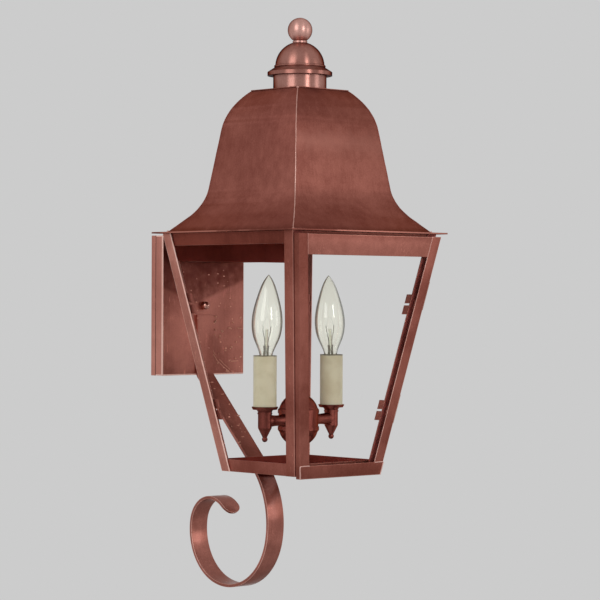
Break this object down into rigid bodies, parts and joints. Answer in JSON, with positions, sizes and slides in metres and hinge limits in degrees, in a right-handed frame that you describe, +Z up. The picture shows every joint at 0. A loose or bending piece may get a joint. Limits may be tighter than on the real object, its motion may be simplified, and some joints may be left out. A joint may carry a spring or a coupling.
{
  "type": "wall lantern",
  "caption": "Tapered square copper wall lantern with a bell roof, ball finial, clear glass panes, hinged front, candle lamps and a scroll strap bracket under it.",
  "frame": {"origin": "centre of the backplate's rear face, on the wall", "axes": "+Y into the wall, the lantern stands off towards -Y; +X along the wall to the right seen from the front; +Z up"},
  "size_m": [0.216, 0.278, 0.5946],
  "materials": {
    "copper": "raw copper sheet, lightly tarnished to red brown, faintly brushed",
    "cluster_metal": "dark copper-plated brass tube and turnings",
    "hinge_brass": "plain brass",
    "lamp_cap_brass": "polished lamp cap",
    "stud_steel": "zinc plated",
    "pane_glass": "clear sheet glass",
    "bulb_glass": "clear thin blown glass",
    "candle_cream": "cream candle sleeve",
    "socket_dark": "moulded lamp socket"
  },
  "bodies": {
    "lantern": {"arm_box": "copper", "arm_left": "cluster_metal", "arm_right": "cluster_metal", "bottom_rail_back": "copper", "bottom_rail_front": "copper", "bottom_rail_left": "copper", "bottom_rail_right": "copper", "bulb_base_left": "lamp_cap_brass", "bulb_base_right": "lamp_cap_brass", "bulb_glass_left": "bulb_glass", "bulb_glass_right": "bulb_glass", "cap_nut": "copper", "chimney_neck": "copper", "cluster_bowl": "cluster_metal", "cluster_cap": "cluster_metal", "crossbar": "cluster_metal", "drip_cup_left": "cluster_metal", "drip_cup_right": "cluster_metal", "finial": "copper", "glass_back": "pane_glass", "glass_clips": "copper", "glass_left": "pane_glass", "glass_right": "pane_glass", "hinge_frame_leaves": "hinge_brass", "hinge_pins": "hinge_brass", "holder_left": "cluster_metal", "holder_right": "cluster_metal", "plate_cover": "copper", "plate_rear": "copper", "plate_stud": "stud_steel", "post_back_left": "copper", "post_back_right": "copper", "post_front_left": "copper", "post_front_right": "copper", "roof_flange": "copper", "roof_panel_back": "copper", "roof_panel_front": "copper", "roof_panel_left": "copper", "roof_panel_right": "copper", "roof_top_plate": "copper", "scroll_strap": "copper", "sleeve_left": "candle_cream", "sleeve_right": "candle_cream", "socket_left": "socket_dark", "socket_right": "socket_dark", "stem": "cluster_metal", "stem_nuts": "cluster_metal", "top_rail_back": "copper", "top_rail_front": "copper", "top_rail_left": "copper", "top_rail_right": "copper", "vent_cap": "copper"},
    "door": {"door_bottom_rail": "copper", "door_catch": "copper", "door_glass": "pane_glass", "door_glass_clips": "copper", "door_stile_left": "copper", "door_stile_right": "copper", "door_top_rail": "copper", "hinge_door_leaves": "hinge_brass"}
  },
  "joints": [
    {"name": "door_hinge", "type": "hinge", "parent": "lantern", "child": "door", "pos_m": [0.09068, -0.25973, 0.01201], "axis": [0.1744, -0.1744, 0.9691], "range_deg": [0, 110]}
  ]
}
